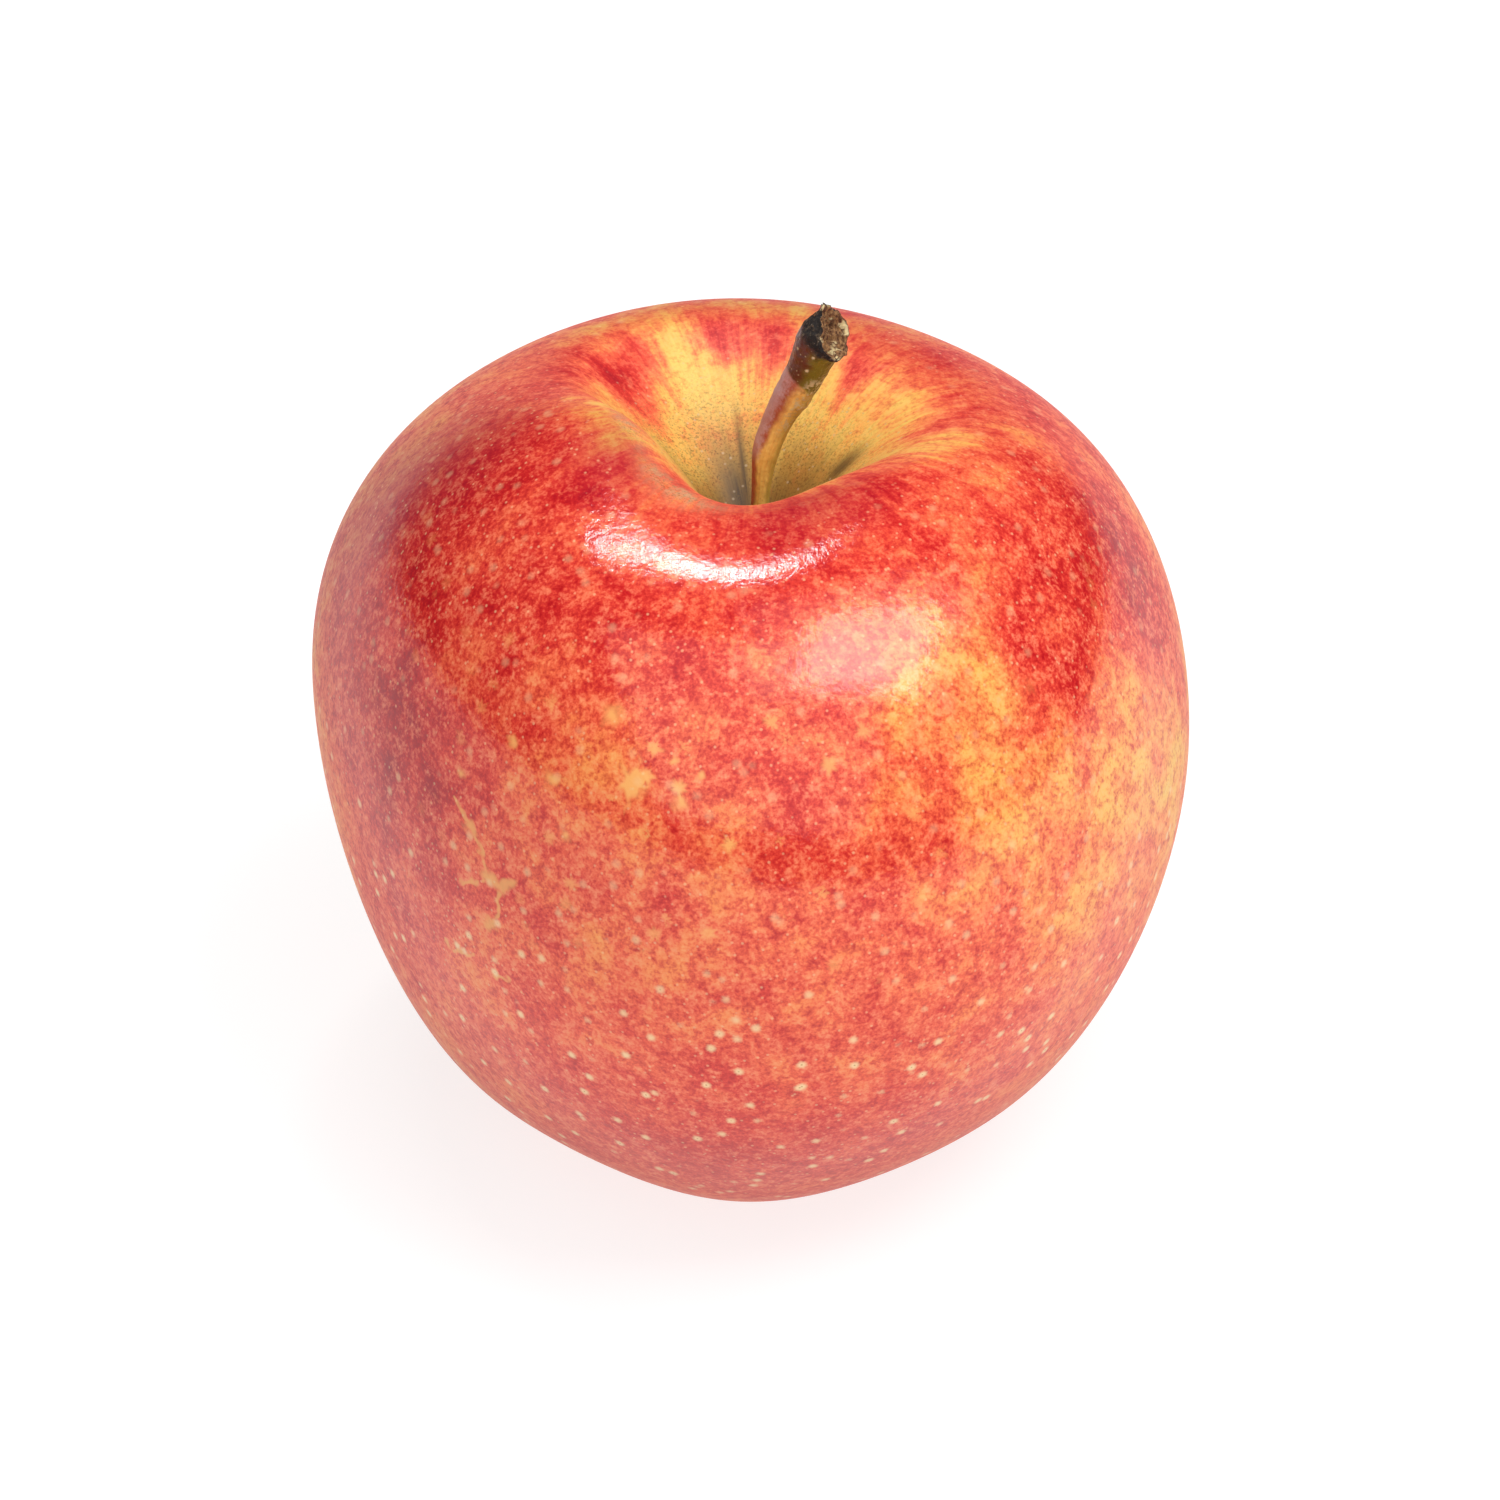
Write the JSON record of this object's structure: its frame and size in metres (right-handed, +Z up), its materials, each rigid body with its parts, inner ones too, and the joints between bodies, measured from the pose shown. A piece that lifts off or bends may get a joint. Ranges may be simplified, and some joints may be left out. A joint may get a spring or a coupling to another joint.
{
  "type": "red apple",
  "caption": "Whole fresh apple standing on its lobed base, with a deep stem cavity, a bowed woody stem ending in a knob, and a dried flower calyx in the basin underneath.",
  "frame": {"origin": "on the surface that the apple stands on, under the middle of its bounding box", "axes": "+Z up, from the base to the stem; -Y is the side with the fuller, higher shoulder over the cavity; the stem bows towards +X"},
  "size_m": [0.0788, 0.0816, 0.0811],
  "materials": {
    "skin": "waxy smooth skin, red mottle and streaks over an orange-yellow ground, cream lenticels, tan russet in the stem cavity",
    "stem_bark": "smooth olive and crimson bark with pale flecks, torn fibrous end",
    "dry_calyx": "dry, matt, brown and brittle"
  },
  "bodies": {
    "root": {"fruit": "skin", "stem": "stem_bark", "calyx": "dry_calyx"}
  },
  "joints": []
}
